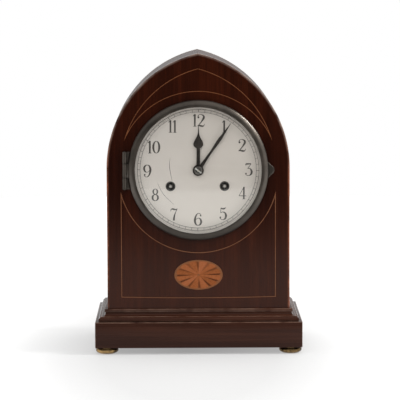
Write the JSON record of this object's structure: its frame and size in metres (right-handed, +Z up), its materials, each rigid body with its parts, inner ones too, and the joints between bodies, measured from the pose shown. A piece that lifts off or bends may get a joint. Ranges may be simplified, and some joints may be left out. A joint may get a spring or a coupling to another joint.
{
  "type": "table clock",
  "caption": "Lancet-topped inlaid wooden mantel clock with a silvered dial, hinged domed bezel, back door, geared striking movement, pendulum and coiled gong.",
  "frame": {"origin": "middle of the base, at the level the feet stand on", "axes": "+Z up, -Y the dial side, +X to the right of a viewer who faces the dial"},
  "size_m": [0.21, 0.14, 0.3039],
  "materials": {
    "mahogany": "french polished",
    "pine": "stained",
    "boxwood": "polished inlay",
    "brass": "lacquered",
    "bezel_brass": "tarnished",
    "glass": "clear, domed",
    "silvered_brass": "silvered",
    "steel": "dark polished",
    "iron": "black japanned"
  },
  "bodies": {
    "case": {"plinth_block": "mahogany", "base_moulding": "mahogany", "foot_front_left": "brass", "foot_front_right": "brass", "foot_rear_left": "brass", "foot_rear_right": "brass", "front_panel": "mahogany", "side_left": "mahogany", "side_right": "mahogany", "back_board": "pine", "lower_hinge_fixed_leaf": "brass", "upper_hinge_fixed_leaf": "brass", "seat_board": "pine", "stringing_upper": "boxwood", "stringing_lower": "boxwood", "patera": "boxwood", "bezel_hinge_block": "bezel_brass", "bezel_hinge_pin": "bezel_brass", "dial_plate": "silvered_brass", "front_plate": "brass", "back_plate": "brass", "back_cock": "brass", "gong": "steel", "gong_block": "iron"},
    "bezel": {"bezel_ring": "bezel_brass", "bezel_tab": "bezel_brass", "bezel_glass": "glass", "sight_ring": "silvered_brass"},
    "back_door": {"back_door": "pine", "lower_hinge_door_leaf": "brass", "upper_hinge_door_leaf": "brass"},
    "turn_button": {"door_turn_button": "brass"},
    "minute_hand": {"minute_hand": "steel", "hand_collet": "steel", "cannon_pinion": "steel", "centre_wheel": "brass"},
    "hour_hand": {"hour_hand": "steel", "hour_wheel": "brass"},
    "minute_wheel": {"minute_wheel": "brass"},
    "intermediate_wheel": {"intermediate_wheel": "brass"},
    "going_barrel": {"going_barrel": "brass", "going_mainspring": "steel"},
    "third_wheel": {"third_wheel": "brass"},
    "escape_wheel": {"escape_wheel": "brass"},
    "pin_wheel": {"pin_wheel": "brass"},
    "strike_second": {"strike_second_wheel": "brass", "count_wheel": "brass"},
    "strike_barrel": {"strike_barrel": "brass", "strike_mainspring": "steel"},
    "stop_wheel": {"stop_wheel": "brass"},
    "fly": {"fly": "brass"},
    "going_arbor": {"going_winding_arbor": "steel"},
    "going_click": {"going_click": "steel"},
    "strike_arbor": {"strike_winding_arbor": "steel"},
    "strike_click": {"strike_click": "steel"},
    "pendulum": {"pendulum_rod": "steel"},
    "anchor": {"anchor": "steel"},
    "bob": {"pendulum_bob": "brass"},
    "rating_nut": {"rating_nut": "brass"},
    "hammer": {"hammer": "steel"}
  },
  "joints": [
    {"name": "bezel_hinge", "type": "hinge", "parent": "case", "child": "bezel", "pos_m": [-0.0742, -0.0611, 0.1862], "axis": [0, 0, -1], "range_deg": [0, 110]},
    {"name": "door_hinge", "type": "hinge", "parent": "case", "child": "back_door", "pos_m": [0.0752, 0.0663, 0.14], "axis": [0, 0, -1], "range_deg": [0, 115]},
    {"name": "turn_button_pivot", "type": "hinge", "parent": "case", "child": "turn_button", "pos_m": [-0.084, 0.0653, 0.1364], "axis": [0, 1, 0], "range_deg": [0, 90]},
    {"name": "minute_hand_turn", "type": "hinge", "parent": "case", "child": "minute_hand", "pos_m": [0, -0.06, 0.1862], "axis": [0, 1, 0], "continuous": true},
    {"name": "hour_hand_turn", "type": "hinge", "parent": "case", "child": "hour_hand", "pos_m": [0, -0.055, 0.1862], "axis": [0, 1, 0], "continuous": true},
    {"name": "minute_wheel_turn", "type": "hinge", "parent": "case", "child": "minute_wheel", "pos_m": [0.00849, -0.05, 0.19469], "axis": [0, 1, 0], "continuous": true},
    {"name": "intermediate_turn", "type": "hinge", "parent": "case", "child": "intermediate_wheel", "pos_m": [0.01802, -0.02, 0.19508], "axis": [0, 1, 0], "continuous": true},
    {"name": "going_barrel_turn", "type": "hinge", "parent": "case", "child": "going_barrel", "pos_m": [0.0266, -0.02, 0.1699], "axis": [0, 1, 0], "continuous": true},
    {"name": "third_wheel_turn", "type": "hinge", "parent": "case", "child": "third_wheel", "pos_m": [-0.00958, -0.02, 0.20277], "axis": [0, 1, 0], "continuous": true},
    {"name": "escape_wheel_turn", "type": "hinge", "parent": "case", "child": "escape_wheel", "pos_m": [0, -0.02, 0.2162], "axis": [0, 1, 0], "continuous": true},
    {"name": "pin_wheel_turn", "type": "hinge", "parent": "case", "child": "pin_wheel", "pos_m": [-0.02364, -0.02, 0.21226], "axis": [0, 1, 0], "continuous": true},
    {"name": "strike_second_turn", "type": "hinge", "parent": "case", "child": "strike_second", "pos_m": [-0.02939, -0.02, 0.19646], "axis": [0, 1, 0], "continuous": true},
    {"name": "strike_barrel_turn", "type": "hinge", "parent": "case", "child": "strike_barrel", "pos_m": [-0.028, -0.02, 0.1699], "axis": [0, 1, 0], "continuous": true},
    {"name": "stop_wheel_turn", "type": "hinge", "parent": "case", "child": "stop_wheel", "pos_m": [-0.02006, -0.02, 0.22564], "axis": [0, 1, 0], "continuous": true},
    {"name": "fly_turn", "type": "hinge", "parent": "case", "child": "fly", "pos_m": [-0.02997, -0.02, 0.2283], "axis": [0, 1, 0], "continuous": true},
    {"name": "going_winding", "type": "hinge", "parent": "case", "child": "going_arbor", "pos_m": [0.0266, -0.052, 0.1699], "axis": [0, 1, 0], "range_deg": [0, 1920]},
    {"name": "going_click_pivot", "type": "hinge", "parent": "case", "child": "going_click", "pos_m": [0.03882, -0.0482, 0.16545], "axis": [0, 1, 0], "range_deg": [0, 12], "stiffness_Nm_per_rad": 0.02},
    {"name": "strike_winding", "type": "hinge", "parent": "case", "child": "strike_arbor", "pos_m": [-0.028, -0.052, 0.1699], "axis": [0, 1, 0], "range_deg": [0, 1920]},
    {"name": "strike_click_pivot", "type": "hinge", "parent": "case", "child": "strike_click", "pos_m": [-0.01578, -0.0482, 0.16545], "axis": [0, 1, 0], "range_deg": [0, 12], "stiffness_Nm_per_rad": 0.02},
    {"name": "pendulum_swing", "type": "hinge", "parent": "case", "child": "pendulum", "pos_m": [0, 0.0108, 0.2317], "axis": [0, 1, 0], "range_deg": [-4, 4]},
    {"name": "anchor_rock", "type": "hinge", "parent": "case", "child": "anchor", "pos_m": [0, -0.02, 0.2317], "axis": [0, 1, 0], "range_deg": [-4, 4]},
    {"name": "bob_slide", "type": "slide", "parent": "pendulum", "child": "bob", "axis": [0, 0, 1], "range_m": [-0.002, 0.002]},
    {"name": "rating_nut_turn", "type": "hinge", "parent": "bob", "child": "rating_nut", "pos_m": [0, 0.0108, 0.0621], "axis": [0, 0, 1], "range_deg": [-1441, 1441]},
    {"name": "hammer_lift", "type": "hinge", "parent": "case", "child": "hammer", "pos_m": [-0.047, -0.02, 0.2122], "axis": [0, 1, 0], "range_deg": [0, 14]}
  ],
  "couplings": [
    {"joint": "hour_hand_turn", "follows": "minute_hand_turn", "ratio": 0.083333},
    {"joint": "minute_wheel_turn", "follows": "minute_hand_turn", "ratio": -0.33333},
    {"joint": "intermediate_turn", "follows": "minute_hand_turn", "ratio": -0.16667},
    {"joint": "going_barrel_turn", "follows": "minute_hand_turn", "ratio": 0.027778},
    {"joint": "third_wheel_turn", "follows": "minute_hand_turn", "ratio": -10},
    {"joint": "escape_wheel_turn", "follows": "minute_hand_turn", "ratio": 90},
    {"joint": "strike_second_turn", "follows": "pin_wheel_turn", "ratio": -0.16667},
    {"joint": "strike_barrel_turn", "follows": "pin_wheel_turn", "ratio": 0.027778},
    {"joint": "stop_wheel_turn", "follows": "pin_wheel_turn", "ratio": -6},
    {"joint": "fly_turn", "follows": "pin_wheel_turn", "ratio": 30},
    {"joint": "anchor_rock", "follows": "pendulum_swing", "ratio": 1},
    {"joint": "rating_nut_turn", "follows": "bob_slide", "rad_per_m": 12566}
  ]
}
